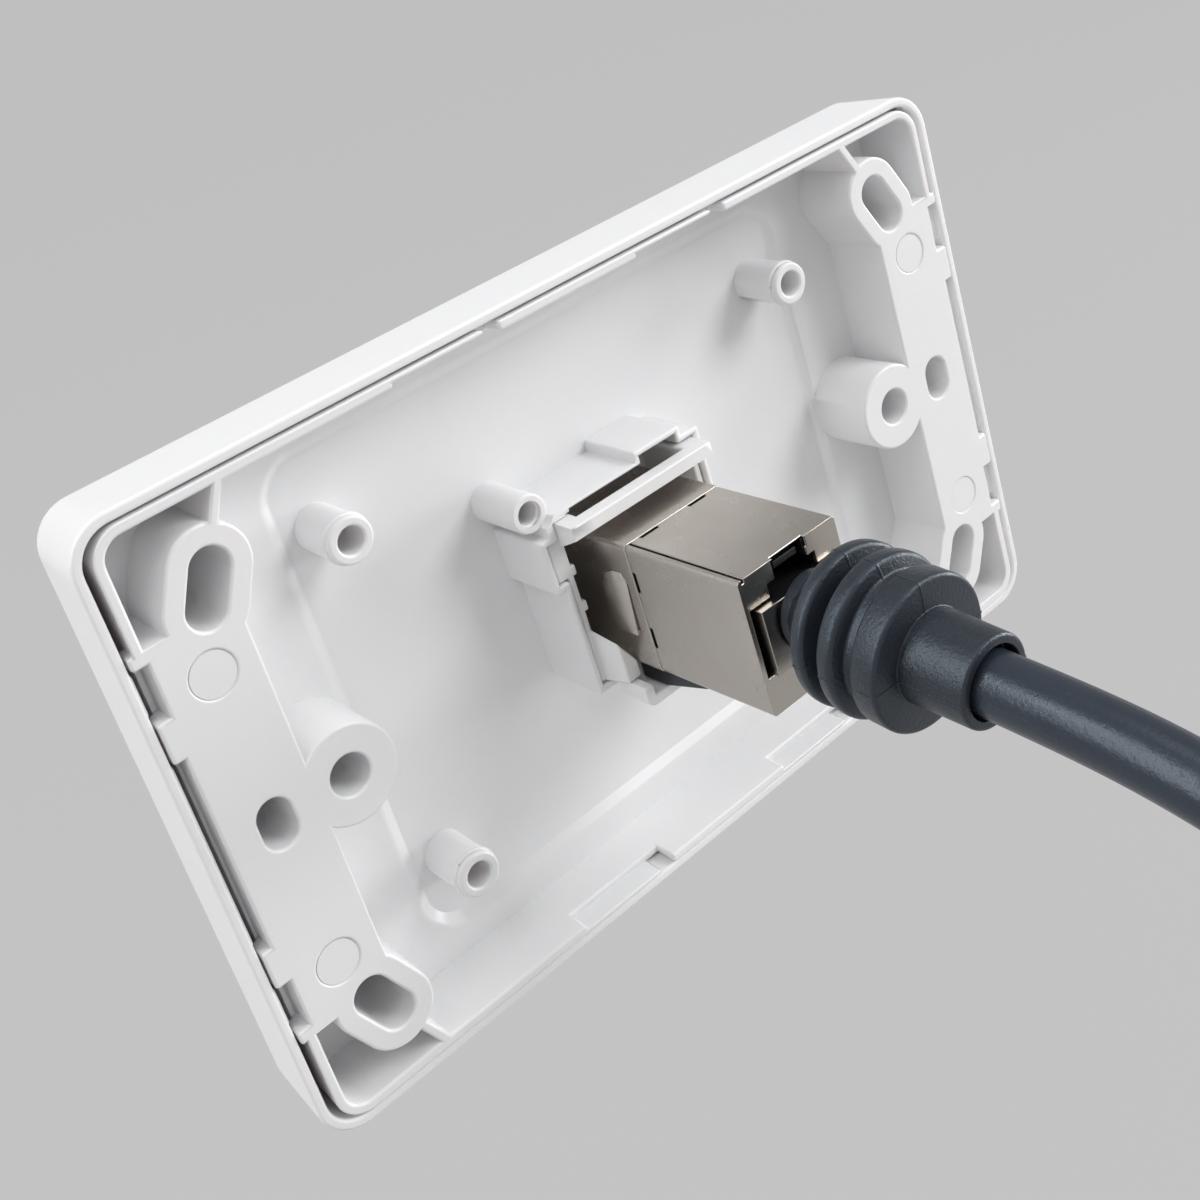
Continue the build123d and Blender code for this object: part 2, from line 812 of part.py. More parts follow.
# Coil of the length that hangs free, entered and left on its outer layer at its rear side
cable_path = tangent_path(route)
mouth_y = plug_rear + boot_set + boot_length
free_length = cable_path.length - (mouth_y - route[0][1]) + tail_length
coil_radius = (lead_length - free_length) / (2 * math.pi * coil_turns)
coil_section = coil_layers * cable_diameter
end_x, end_y, end_z = route[-1]
coil_x = end_x - cable_radius
coil_y = end_y - cable_radius - coil_radius
coil_z = end_z - coil_drop
coil_axis = Axis((coil_x, coil_y, coil_z), (1, 0, 0))
coil_plan = Rectangle(coil_section, coil_section)
coil_plan = Pos(coil_x, coil_y + coil_radius) * chamfer(coil_plan.vertices(), cable_radius / 2)
coil = revolve(Plane.XY.offset(coil_z) * coil_plan, axis=coil_axis)
cable = make_tube(cable_path) - coil

tail_x = coil_x - cable_radius
tail_top = coil_z
tail_exit = math.sqrt((coil_radius + coil_section / 2) ** 2 - coil_radius**2)
tail_end = tail_top - tail_exit - tail_length
tail_path = Line((tail_x, end_y, tail_top), (tail_x, end_y, tail_end - boot_length + crimp_length))
tail = make_tube(tail_path) - coil

tie_inner = coil_section / 2 + tie_gap
tie_plan = RectangleRounded(2 * (tie_inner + tie_thick), 2 * (tie_inner + tie_thick), cable_radius + tie_thick)
tie_plan -= RectangleRounded(2 * tie_inner, 2 * tie_inner, cable_radius)
tie = Pos(coil_x, coil_y, coil_z - coil_radius) * prism(tie_plan, tie_width / 2, -tie_width / 2)

# The far plug hangs below the coil with its nose down
far_turn = Pos(tail_x, end_y, tail_end) * Rot(X=90)
far_boot_place = far_turn * Pos(0, -boot_length, 0)
far_plug_place = far_boot_place * Pos(0, -plug_length - boot_set, -boot_centre_z)

nodes = {
    "cover_plate": make_cover(),
    "base_frame": make_frame(),
    "keystone_insert": make_insert(),
    "coupler_front_shell": make_front_shell(),
    "coupler_rear_shell": make_rear_shell(),
    "front_port_block": make_core(front_mouth, front_inner, 0),
    "rear_port_block": make_core(rear_mouth, rear_inner, rear_inset),
    "contact_board": make_board(),
    "front_contacts": make_contacts(front_inner, front_mouth, front_tip_room, port_low + front_tip_rise),
    "rear_contacts": make_contacts(rear_inner, rear_mouth, rear_tip_room, port_low - rear_tip_drop),
    "coupler_latch": make_latch(),
    "plug_body": plug_place * make_plug_body(),
    "plug_shield": plug_place * make_plug_shield(),
    "plug_contacts": plug_place * make_plug_contacts(),
    "plug_wire_guide": plug_place * make_wire_guide(),
    "plug_boot": boot_place * make_boot(),
    "cable": cable,
    "cable_coil": coil,
    "cable_tail": tail,
    "coil_tie": tie,
    "far_plug_body": far_plug_place * make_plug_body(),
    "far_plug_shield": far_plug_place * make_plug_shield(),
    "far_plug_contacts": far_plug_place * make_plug_contacts(),
    "far_wire_guide": far_plug_place * make_wire_guide(),
    "far_boot": far_boot_place * make_boot(),
}
for name, shape in nodes.items():
    export_step(shape, f"parts/{name}.step")
print("lead length", round(free_length + 2 * math.pi * coil_turns * coil_radius, 1), "coil", round(coil_radius, 2))
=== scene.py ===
import json
import math
import bmesh
import bpy
import numpy as np
from mathutils import Matrix, Vector

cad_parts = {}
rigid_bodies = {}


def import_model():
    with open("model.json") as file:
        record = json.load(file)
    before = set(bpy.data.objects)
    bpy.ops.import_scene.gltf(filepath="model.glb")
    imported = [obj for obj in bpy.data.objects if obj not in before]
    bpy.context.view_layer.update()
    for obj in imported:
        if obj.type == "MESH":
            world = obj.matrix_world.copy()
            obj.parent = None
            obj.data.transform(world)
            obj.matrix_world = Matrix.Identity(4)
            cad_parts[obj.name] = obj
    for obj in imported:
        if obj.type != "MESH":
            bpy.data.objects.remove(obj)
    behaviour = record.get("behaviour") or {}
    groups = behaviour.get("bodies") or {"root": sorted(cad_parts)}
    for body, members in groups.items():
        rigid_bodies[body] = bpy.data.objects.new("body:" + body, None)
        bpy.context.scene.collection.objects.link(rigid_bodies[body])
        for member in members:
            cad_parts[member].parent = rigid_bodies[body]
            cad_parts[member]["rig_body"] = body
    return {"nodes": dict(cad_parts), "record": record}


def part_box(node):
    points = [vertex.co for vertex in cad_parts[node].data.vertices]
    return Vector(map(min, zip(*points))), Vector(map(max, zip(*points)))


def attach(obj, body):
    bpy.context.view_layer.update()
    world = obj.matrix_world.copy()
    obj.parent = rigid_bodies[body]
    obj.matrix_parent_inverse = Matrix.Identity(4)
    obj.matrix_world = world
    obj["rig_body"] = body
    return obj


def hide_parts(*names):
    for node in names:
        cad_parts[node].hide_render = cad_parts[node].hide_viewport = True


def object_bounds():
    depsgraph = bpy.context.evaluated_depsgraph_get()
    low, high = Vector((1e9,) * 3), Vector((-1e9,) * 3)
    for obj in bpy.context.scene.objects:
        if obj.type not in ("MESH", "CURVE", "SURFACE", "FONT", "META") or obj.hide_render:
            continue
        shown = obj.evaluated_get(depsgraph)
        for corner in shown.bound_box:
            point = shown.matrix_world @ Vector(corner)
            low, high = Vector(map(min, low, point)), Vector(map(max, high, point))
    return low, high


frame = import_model()
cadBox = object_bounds()
mm = 0.001


# Camera, solved from the plate's edges; the photograph is rolled and its centre lies low on the sensor
cameraSizes = {
    "place": (87.94, 134.14, 84.20),  # mm
    "right": (-0.74207, 0.61160, -0.27437),
    "up": (-0.43123, -0.12220, 0.89393),
    "lens": 47.52,
    "shiftY": -0.1798,
}


def makeCamera():
    data = bpy.data.cameras.new("productCamera")
    data.sensor_width = 36.0
    data.lens = cameraSizes["lens"]
    data.shift_y = cameraSizes["shiftY"]
    data.clip_start = 0.005
    data.clip_end = 100.0
    camera = bpy.data.objects.new("productCamera", data)
    bpy.context.scene.collection.objects.link(camera)
    right = Vector(cameraSizes["right"]).normalized()
    up = Vector(cameraSizes["up"])
    up = (up - right * up.dot(right)).normalized()
    turn = Matrix((right, up, right.cross(up))).transposed()
    camera.matrix_world = Matrix.Translation(Vector(cameraSizes["place"]) * mm) @ turn.to_4x4()
    bpy.context.scene.camera = camera
    print("camera placed")


makeCamera()


# Materials
def linear(hexColour):
    # sRGB hex to the linear colour that shaders take
    values = [int(hexColour[i:i + 2], 16) / 255 for i in (1, 3, 5)]
    return [v / 12.92 if v <= 0.04045 else ((v + 0.055) / 1.055) ** 2.4 for v in values] + [1.0]


def addNode(tree, kind, settings=None, links=None):
    # One node with its fixed values and the sockets that feed it
    node = tree.nodes.new(kind)
    for key, value in (settings or {}).items():
        if isinstance(key, int) or key in node.inputs:
            node.inputs[key].default_value = value
        else:
            setattr(node, key, value)
    for key, source in (links or {}).items():
        tree.links.new(source, node.inputs[key])
    return node


def newMaterial(name):
    material = bpy.data.materials.new(name)
    material.use_nodes = True
    material.node_tree.nodes.clear()
    return material, material.node_tree


def closeMaterial(tree, shader):
    addNode(tree, "ShaderNodeOutputMaterial", links={"Surface": shader})


def mouldedAbs(name, colour, shade, roughness):
    # White ABS from a polished mould: semi-gloss, with the faint waves of the mould and a fine satin grain
    material, tree = newMaterial(name)
    place = addNode(tree, "ShaderNodeTexCoord").outputs["Object"]
    # 18 mm waves, and a grain of 0.4 mm that stands for one too fine to show
    flow = addNode(tree, "ShaderNodeTexNoise", {"Scale": 55.0, "Detail": 2.0}, {"Vector": place})
    grain = addNode(tree, "ShaderNodeTexNoise", {"Scale": 2600.0, "Detail": 3.0}, {"Vector": place})
    tint = addNode(tree, "ShaderNodeMix", {"data_type": "RGBA"}, {"Factor": flow.outputs["Fac"]})
    tint.inputs["A"].default_value = linear(colour)
    tint.inputs["B"].default_value = linear(shade)
    gloss = addNode(tree, "ShaderNodeMapRange", {"To Min": roughness - 0.05, "To Max": roughness + 0.07},
                    {"Value": flow.outputs["Fac"]})
    fine = addNode(tree, "ShaderNodeBump", {"Strength": 0.05, "Distance": 0.0001},
                   {"Height": grain.outputs["Fac"]})
    waves = addNode(tree, "ShaderNodeBump", {"Strength": 0.12, "Distance": 0.0004},
                    {"Height": flow.outputs["Fac"], "Normal": fine.outputs["Normal"]})
    shader = addNode(tree, "ShaderNodeBsdfPrincipled",
                     {"IOR": 1.54, "Subsurface Weight": 0.08, "Subsurface Scale": 0.0012},
                     {"Base Color": tint.outputs["Result"], "Roughness": gloss.outputs["Result"],
                      "Normal": waves.outputs["Normal"]})
    closeMaterial(tree, shader.outputs["BSDF"])
    return material


def nickelSheet(name, colour, dark, roughness):
    # Satin nickel on drawn brass sheet: rolling lines of 0.3 mm along the coupler and a slight cloudiness
    material, tree = newMaterial(name)
    place = addNode(tree, "ShaderNodeTexCoord").outputs["Object"]
    stretch = addNode(tree, "ShaderNodeMapping", {"Scale": (1.0, 0.06, 1.0)}, {"Vector": place})
    lines = addNode(tree, "ShaderNodeTexNoise", {"Scale": 3000.0, "Detail": 4.0},
                    {"Vector": stretch.outputs["Vector"]})
    cloud = addNode(tree, "ShaderNodeTexNoise", {"Scale": 160.0, "Detail": 3.0}, {"Vector": place})
    tint = addNode(tree, "ShaderNodeMix", {"data_type": "RGBA"}, {"Factor": cloud.outputs["Fac"]})
    tint.inputs["A"].default_value = linear(colour)
    tint.inputs["B"].default_value = linear(dark)
    gloss = addNode(tree, "ShaderNodeMapRange", {"To Min": roughness - 0.06, "To Max": roughness + 0.08},
                    {"Value": cloud.outputs["Fac"]})
    brushed = addNode(tree, "ShaderNodeBump", {"Strength": 0.08, "Distance": 0.00005},
                      {"Height": lines.outputs["Fac"]})
    shader = addNode(tree, "ShaderNodeBsdfPrincipled", {"Metallic": 1.0},
                     {"Base Color": tint.outputs["Result"], "Roughness": gloss.outputs["Result"],
                      "Normal": brushed.outputs["Normal"]})
    closeMaterial(tree, shader.outputs["BSDF"])
    return material


def grainedPlastic(name, colour, worn, roughness, grainScale, grainDepth):
    # Soft moulded or extruded plastic with a fine eroded grain that catches the light in bluish specks.
    # The real grain is about 0.1 mm; it is drawn at 0.2 to 0.5 mm, so that it shows
    material, tree = newMaterial(name)
    place = addNode(tree, "ShaderNodeTexCoord").outputs["Object"]
    grain = addNode(tree, "ShaderNodeTexNoise", {"Scale": grainScale, "Detail": 4.0, "Roughness": 0.6},
                    {"Vector": place})
    patch = addNode(tree, "ShaderNodeTexNoise", {"Scale": 220.0, "Detail": 3.0}, {"Vector": place})
    tint = addNode(tree, "ShaderNodeMix", {"data_type": "RGBA"}, {"Factor": patch.outputs["Fac"]})
    tint.inputs["A"].default_value = linear(colour)
    tint.inputs["B"].default_value = linear(worn)
    gloss = addNode(tree, "ShaderNodeMapRange", {"To Min": roughness - 0.08, "To Max": roughness + 0.1},
                    {"Value": patch.outputs["Fac"]})
    bump = addNode(tree, "ShaderNodeBump", {"Strength": grainDepth, "Distance": 0.0001},
                   {"Height": grain.outputs["Fac"]})
    shader = addNode(tree, "ShaderNodeBsdfPrincipled",
                     {"IOR": 1.58, "Specular Tint": (0.75, 0.88, 1.0, 1.0)},
                     {"Base Color": tint.outputs["Result"], "Roughness": gloss.outputs["Result"],
                      "Normal": bump.outputs["Normal"]})
    closeMaterial(tree, shader.outputs["BSDF"])
    return material


def goldPlate(name):
    # Hard gold on phosphor bronze springs, smooth and bright
    material, tree = newMaterial(name)
    place = addNode(tree, "ShaderNodeTexCoord").outputs["Object"]
    cloud = addNode(tree, "ShaderNodeTexNoise", {"Scale": 900.0}, {"Vector": place})
    gloss = addNode(tree, "ShaderNodeMapRange", {"To Min": 0.18, "To Max": 0.3},
                    {"Value": cloud.outputs["Fac"]})
    shader = addNode(tree, "ShaderNodeBsdfPrincipled", {"Metallic": 1.0, "Base Color": linear("#E2B865")},
                     {"Roughness": gloss.outputs["Result"]})
    closeMaterial(tree, shader.outputs["BSDF"])
    return material


materials = {  # two close colours and the roughness; for grained plastic also grains in a metre and their depth
    "white_cover": mouldedAbs("coverAbs", "#F6F6F7", "#F2F2F3", 0.36),
    "white_frame": mouldedAbs("frameAbs", "#F4F4F5", "#F0F0F1", 0.3),
    "nickel": nickelSheet("satinNickel", "#C4BEB7", "#BBB5AD", 0.27),
    "black_plastic": grainedPlastic("blackPbt", "#151516", "#1B1B1C", 0.42, 4200.0, 0.15),
    "board": grainedPlastic("boardLaminate", "#1D5A34", "#246B3E", 0.35, 3000.0, 0.05),
    "gold": goldPlate("goldPlate"),
    "clear_plastic": grainedPlastic("guidePolycarbonate", "#C9CDD0", "#BFC4C8", 0.2, 3000.0, 0.04),
    "boot_plastic": grainedPlastic("bootPvc", "#23272D", "#292E35", 0.34, 2700.0, 0.75),
    "cable_jacket": grainedPlastic("jacketPvc", "#272C34", "#2D333D", 0.29, 2200.0, 0.45),
    "strap": grainedPlastic("strapNylon", "#121213", "#1A1A1B", 0.8, 2200.0, 0.6),
}
for part in frame["record"]["subparts"]:
    node = frame["nodes"][part["node"]]
    node.data.materials.clear()
    node.data.materials.append(materials[part["material_slot"]])
print("materials set")


# Small forms that are cut from or joined to the copies before their edges are rounded, in mm.
# A prism has its outline in the two axes that its own axis leaves, in the order x, y, z
carvedSizes = {
    "base_frame": [
        # the corner post's first place is cleared, and the housing's corner is closed again
        ("cut", "round", "y", (-9.59, 1.0), (11.6, 12.55, 2.12)),
        ("join", "prism", "y", (-9.7, -0.5), [(8.6, 11.65), (11.6, 11.65), (11.6, 12.55), (8.6, 12.55)]),
        ("join", "prism", "y", (-9.7, -0.5), [(10.7, 9.6), (11.6, 9.6), (11.6, 12.5), (10.7, 12.5)]),
        ("cut", "round", "y", (-1.5, 1.0), (12.4, 13.6, 2.3)),
        ("join", "round", "y", (-9.7, -1.5), (12.4, 13.6, 2.25)),
        ("cut", "round", "y", (-8.5, 0.0), (12.4, 13.6, 1.3)),
        ("cut", "round", "y", (-2.0, 0.0), (12.4, 13.6, 1.5)),
        # the housing's upper wall thins towards its rear edge along the module frame's slot
        ("cut", "prism", "x", (-7.8, 8.1), [(-5.0, 11.6), (0.1, 11.6), (0.1, 12.2), (-5.0, 12.0)]),
    ],
    "keystone_insert": [
        # the upper bar is recut with closed ends and a leg at each side
        ("cut", "prism", "x", (-7.8, 8.1), [(-6.0, 9.5), (0.5, 9.5), (0.5, 11.8), (-6.0, 11.8)]),
        ("join", "prism", "x", (8.1, 10.4), [(-1.9, 9.95), (2.5, 9.95), (2.5, 11.55), (-1.9, 11.55)]),
        ("join", "prism", "x", (7.4, 10.4), [(0.5, 9.95), (2.5, 9.95), (2.5, 11.55), (0.5, 11.55)]),
        ("join", "prism", "x", (9.6, 10.4), [(-2.3, 7.9), (2.5, 9.96), (2.5, 11.55), (-2.3, 11.55)]),
        ("join", "prism", "x", (-10.4, -9.6), [(-2.3, 7.9), (2.5, 9.96), (2.5, 11.55), (-2.3, 11.55)]),
    ],
    "coupler_front_shell": [
        # room for the pressed tongue, with the gap at its free edges
        ("cut", "prism", "z", (-5.0, 6.2), [(7.2, 0.3), (8.4, 0.3), (8.4, 5.9), (7.2, 5.9)]),
        ("cut", "prism", "x", (6.9, 8.0), [
            (4.5, -2.9), (4.75, 3.3), (4.5, 3.3), (4.2, -2.7), (0.9, -2.6), (0.9, -3.0),
        ]),
    ],
    "coupler_rear_shell": [
        # the key slot of the port runs out through the top sheet
        ("cut", "prism", "y", (23.3, 24.4), [(-2.6, 7.2), (2.1, 7.2), (2.1, 8.7), (-2.6, 8.7)]),
    ],
}
spreadSizes = {  # the latch is wider and hangs lower: fixed point in mm, factors along x, y and z
    "coupler_latch": ((0.0, 2.0, -8.1), (1.8, 1.0, 1.4)),
}
roundTool = 48  # sides


def axisPoint(axis, along, first, second):
    # A point from its place along one axis and on the two others
    return {"x": (along, first, second), "y": (first, along, second), "z": (first, second, along)}[axis]


def toolObject(kind, axis, reach, shape):
    # A closed prism or cylinder between the two ends of its reach
    if kind == "round":
        middleX, middleZ, radius = shape
        turns = [2 * math.pi * step / roundTool for step in range(roundTool)]
        shape = [(middleX + radius * math.cos(turn), middleZ + radius * math.sin(turn)) for turn in turns]
    count = len(shape)
    verts = [Vector(axisPoint(axis, along, *point)) * mm for along in reach for point in shape]
    faces = [list(range(count)), list(range(count, 2 * count))]
    faces += [[step, (step + 1) % count, count + (step + 1) % count, count + step] for step in range(count)]
    mesh = bpy.data.meshes.new("tool")
    mesh.from_pydata(verts, [], faces)
    work = bmesh.new()
    work.from_mesh(mesh)
    bmesh.ops.recalc_face_normals(work, faces=work.faces)
    work.to_mesh(mesh)
    work.free()
    tool = bpy.data.objects.new("tool", mesh)
    bpy.context.scene.collection.objects.link(tool)
    return tool


def carve(work, steps):
    # Takes the tools from the merged mesh, or joins them, and reads the result back
    mesh = bpy.data.meshes.new("carved")
    work.to_mesh(mesh)
    piece = bpy.data.objects.new("carved", mesh)
    bpy.context.scene.collection.objects.link(piece)
    tools = []
    for action, kind, axis, reach, shape in steps:
        tools.append(toolObject(kind, axis, reach, shape))
        change = piece.modifiers.new(action, "BOOLEAN")
        change.operation = {"cut": "DIFFERENCE", "join": "UNION"}[action]
        change.solver = "EXACT"
        change.object = tools[-1]
    result = bpy.data.meshes.new_from_object(piece.evaluated_get(bpy.context.evaluated_depsgraph_get()))
    work.clear()
    work.from_mesh(result)
    for thing in [piece] + tools:
        bpy.data.objects.remove(thing)
    bmesh.ops.remove_doubles(work, verts=work.verts, dist=roundingSizes["weld"] * mm)


# Moulded and folded pieces: the solid's own faces, merged, with its outer edges rounded
softenedSizes = {  # radius of the edges, mm
    "cover_plate": {"name": "coverShell", "edge": 0.4},
    "base_frame": {"name": "frameMoulding", "edge": 0.35},
    "keystone_insert": {"name": "moduleFrame", "edge": 0.25},
    "coupler_front_shell": {"name": "couplerFrontShell", "edge": 0.12},
    "coupler_rear_shell": {"name": "couplerRearShell", "edge": 0.12},
    "coupler_latch": {"name": "couplerLatch", "edge": 0.2},
    "front_port_block": {"name": "frontPortBlock", "edge": 0.1},
    "rear_port_block": {"name": "rearPortBlock", "edge": 0.1},
    "plug_body": {"name": "plugMoulding", "edge": 0.12},
    "plug_shield": {"name": "plugShield", "edge": 0.08},
    "far_plug_body": {"name": "farPlugMoulding", "edge": 0.12},
    "far_plug_shield": {"name": "farPlugShield", "edge": 0.08},
}
roundingSizes = {
    "outer": 30,  # degrees between faces from which an edge is rounded
    "running": 35,  # degrees up to which edges run on into each other
    "sharp": 33,  # degrees, between the facets of a rounding and the slope of the panel's ramp
    "flat": 3,  # degrees up to which faces are merged
    "weld": 0.002,  # mm
    "smallest": 0.04,  # mm, below which an edge stays sharp
    "fold": 0.03,  # square mm
    "segments": 3,
    "spares": (0.85, 0.6, 0.3, 0.0, None),  # share of the room that is used, from round to round
    "straight": 0.02,  # sine of the turn up to which two edges count as one
    "slack": 0.3,  # share of the rounding by which a corner may miss an edge
    "noLimit": 1.0,  # metres
}


def faceRoom(face, outer):
    # For each edge of a face, the rounding at which an outline drawn in by it would first cross itself
    edges = [loop.edge.index for loop in face.loops]
    across = (face.loops[1].vert.co - face.loops[0].vert.co).normalized()
    upward = face.normal.cross(across)
    points = np.array([(loop.vert.co.dot(across), loop.vert.co.dot(upward)) for loop in face.loops])
    run = np.roll(points, -1, axis=0) - points
    length = np.maximum(np.hypot(run[:, 0], run[:, 1]), 1e-9)
    run /= length[:, None]
    inward = np.stack((-run[:, 1], run[:, 0]), axis=1)
    moved = np.array([float(edge in outer) for edge in edges])
    before = np.roll(inward, 1, axis=0)
    movedBefore = np.roll(moved, 1)
    turn = before[:, 0] * inward[:, 1] - before[:, 1] * inward[:, 0]
    straight = np.abs(turn) < roundingSizes["straight"]
    turn = np.where(straight, 1.0, turn)
    speed = np.stack((
        (movedBefore * inward[:, 1] - moved * before[:, 1]) / turn,
        (moved * before[:, 0] - movedBefore * inward[:, 0]) / turn,
    ), axis=1)
    speed[straight] = (inward * np.maximum(moved, movedBefore)[:, None])[straight]
    gap = ((points[:, None, :] - points[None, :, :]) * inward[None, :, :]).sum(axis=2)
    closing = moved[None, :] - speed @ inward.T
    far = roundingSizes["noLimit"]
    room = np.where((gap > 1e-7) & (closing > 1e-3), gap / np.maximum(closing, 1e-3), far)
    met = points[:, None, :] + speed[:, None, :] * room[:, :, None] - points[None, :, :]
    along = (met * run[None, :, :]).sum(axis=2)
    slack = roundingSizes["slack"] * room
    room[(along < -slack) | (along > length[None, :] + slack)] = far
    count = len(edges)
    order = np.arange(count)
    room[order, order] = far
    room[order, order - 1] = far
    least = {}
    for index in range(count):
        byPoint = min(room[index].min(), room[(index + 1) % count].min())
        least[edges[index]] = min(least.get(edges[index], far), byPoint, room[:, index].min())
    return least


def runningEdges(outer):
    # Edges that run on into each other share one rounding
    chain = {index: index for index in outer}

    def first(index):
        while chain[index] != index:
            index = chain[index]
        return index

    for vert in {vert for edge in outer.values() for vert in edge.verts}:
        met = [edge for edge in vert.link_edges if edge.index in outer]
        for here in met:
            for there in met:
                if here.index < there.index:
                    a = here.other_vert(vert).co - vert.co
                    b = vert.co - there.other_vert(vert).co
                    if a.angle(b, 0.0) < math.radians(roundingSizes["running"]):
                        chain[first(here.index)] = first(there.index)
    return {index: first(index) for index in outer}


def spoiledFaces(mesh):
    # Source faces whose outline crosses itself after the rounding
    work = bmesh.new()
    work.from_mesh(mesh)
    work.normal_update()
    source = work.faces.layers.int["source"]
    turned = {}
    for corners in work.calc_loop_triangles():
        face = corners[0].face
        a, b, c = (corner.vert.co for corner in corners)
        area = (b - a).cross(c - a)
        if area.dot(face.normal) < 0:
            turned[face[source]] = turned.get(face[source], 0.0) + area.length / 2
    work.free()
    return {index for index, area in turned.items() if area > roundingSizes["fold"] * mm * mm}


def roundedMesh(piece, radius):
    # The piece's mesh with its edges rounded by their own shares of the radius
    edge = piece.modifiers.new("edge", "BEVEL")
    edge.limit_method = "WEIGHT"
    edge.width = radius
    edge.offset_type = "OFFSET"
    edge.segments = roundingSizes["segments"]
    edge.use_clamp_overlap = False
    edge.miter_outer = "MITER_SHARP"
    mesh = bpy.data.meshes.new_from_object(piece.evaluated_get(bpy.context.evaluated_depsgraph_get()))
    piece.modifiers.clear()
    return mesh


def softenEdges(nodeName, sizes):
    # Copies a node, carves and rounds the copy, and lets it stand for the node
    node = frame["nodes"][nodeName]
    width = sizes["edge"] * mm
    work = bmesh.new()
    work.from_mesh(node.data)
    bmesh.ops.remove_doubles(work, verts=work.verts, dist=roundingSizes["weld"] * mm)
    if nodeName in spreadSizes:
        middle, factor = spreadSizes[nodeName]
        for vert in work.verts:
            vert.co = [m * mm + (value - m * mm) * f for value, m, f in zip(vert.co, middle, factor)]
    if nodeName in carvedSizes:
        carve(work, carvedSizes[nodeName])
    bmesh.ops.dissolve_limit(work, angle_limit=math.radians(roundingSizes["flat"]),
                             verts=work.verts, edges=work.edges, delimit=set())
    work.normal_update()
    work.edges.index_update()
    work.faces.index_update()
    source = work.faces.layers.int.new("source")
    share = work.edges.layers.float.new("bevel_weight_edge")
    work.faces.ensure_lookup_table()
    for face in work.faces:
        face[source] = face.index
    sharpest = math.radians(roundingSizes["outer"])
    outer = {
        edge.index: edge for edge in work.edges
        if edge.is_manifold and edge.calc_face_angle_signed(0.0) > sharpest
    }
    chain = runningEdges(outer)
    radius = {index: width for index in outer}
    piece = bpy.data.objects.new(sizes["name"], bpy.data.meshes.new(sizes["name"]))
    bpy.context.scene.collection.objects.link(piece)
    for spare in roundingSizes["spares"]:  # each round leaves more room where an outline still folds
        for index, edge in outer.items():
            edge[share] = radius[index] / width
        work.to_mesh(piece.data)
        rounded = roundedMesh(piece, width)
        spoiled = spoiledFaces(rounded)
        if not spoiled or spare is None:
            break
        least = {}
        for index in spoiled:
            for edge, room in faceRoom(work.faces[index], outer).items():
                if edge in outer:
                    least[chain[edge]] = min(least.get(chain[edge], width), room * spare)
        for index in outer:
            radius[index] = min(radius[index], least.get(chain[index], width))
            if radius[index] < roundingSizes["smallest"] * mm:
                radius[index] = 0.0
    work.free()
    rounded.attributes.remove(rounded.attributes["source"])
    rounded.shade_smooth()
    rounded.set_sharp_from_angle(angle=math.radians(roundingSizes["sharp"]))
    piece.data = rounded
    piece.modifiers.new("shade", "WEIGHTED_NORMAL").keep_sharp = True
    finished = bpy.data.meshes.new_from_object(piece.evaluated_get(bpy.context.evaluated_depsgraph_get()))
    piece.modifiers.clear()
    piece.data = finished
    finished.name = sizes["name"]
    part = next(row for row in frame["record"]["subparts"] if row["node"] == nodeName)
    finished.materials.clear()
    finished.materials.append(materials[part["material_slot"]])
    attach(piece, node["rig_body"])
    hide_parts(nodeName)
    print(sizes["name"], "softened, folds left:", len(spoiled))
    return piece


# Pressed tongue on the coupler's front shell: it stands out at its front end and falls towards the seam
tongueSizes = {
    "outline": [  # y, z in mm
        (0.7, -1.6), (1.6, -2.9), (4.3, -3.2), (4.6, 3.4), (4.55, 4.6), (2.9, 4.75), (1.6, 4.3), (0.8, 2.9),
    ],
    "foot": 7.67,  # mm from the coupler's middle, at the front edge and the top height
    "top": 5.0,
    "lift": -0.14,  # mm for each mm towards the seam
    "lean": 0.05,  # mm for each mm down
    "root": 7.0,
    "edge": 0.07,
}


def makeTongue():
    sizes = tongueSizes
    start = min(along for along, height in sizes["outline"])
    verts = []
    flat = 1.0  # radians, and the slab's own edges turn by more
    for along, height in sizes["outline"]:
        out = sizes["foot"] + sizes["lift"] * (along - start) + sizes["lean"] * (sizes["top"] - height)
        verts.append(Vector((out, along, height)) * mm)
    verts += [Vector((sizes["root"], along, height)) * mm for along, height in sizes["outline"]]
    count = len(sizes["outline"])
    faces = [list(range(count)), list(range(count, 2 * count))]
    faces += [[step, (step + 1) % count, count + (step + 1) % count, count + step] for step in range(count)]
    mesh = bpy.data.meshes.new("shellTongue")
    mesh.from_pydata(verts, [], faces)
    work = bmesh.new()
    work.from_mesh(mesh)
    bmesh.ops.recalc_face_normals(work, faces=work.faces)
    bmesh.ops.bevel(work, geom=[edge for edge in work.edges if edge.calc_face_angle(0.0) > flat],
                    offset=sizes["edge"] * mm, segments=2, profile=0.5, affect="EDGES")
    work.to_mesh(mesh)
    work.free()
    mesh.shade_smooth()
    mesh.set_sharp_from_angle(angle=math.radians(roundingSizes["sharp"]))
    mesh.materials.append(materials["nickel"])
    tongue = bpy.data.objects.new("shellTongue", mesh)
    bpy.context.scene.collection.objects.link(tongue)
    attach(tongue, "plate")
    print("tongue bent")


makeTongue()

for nodeName, sizes in softenedSizes.items():
    softenEdges(nodeName, sizes)


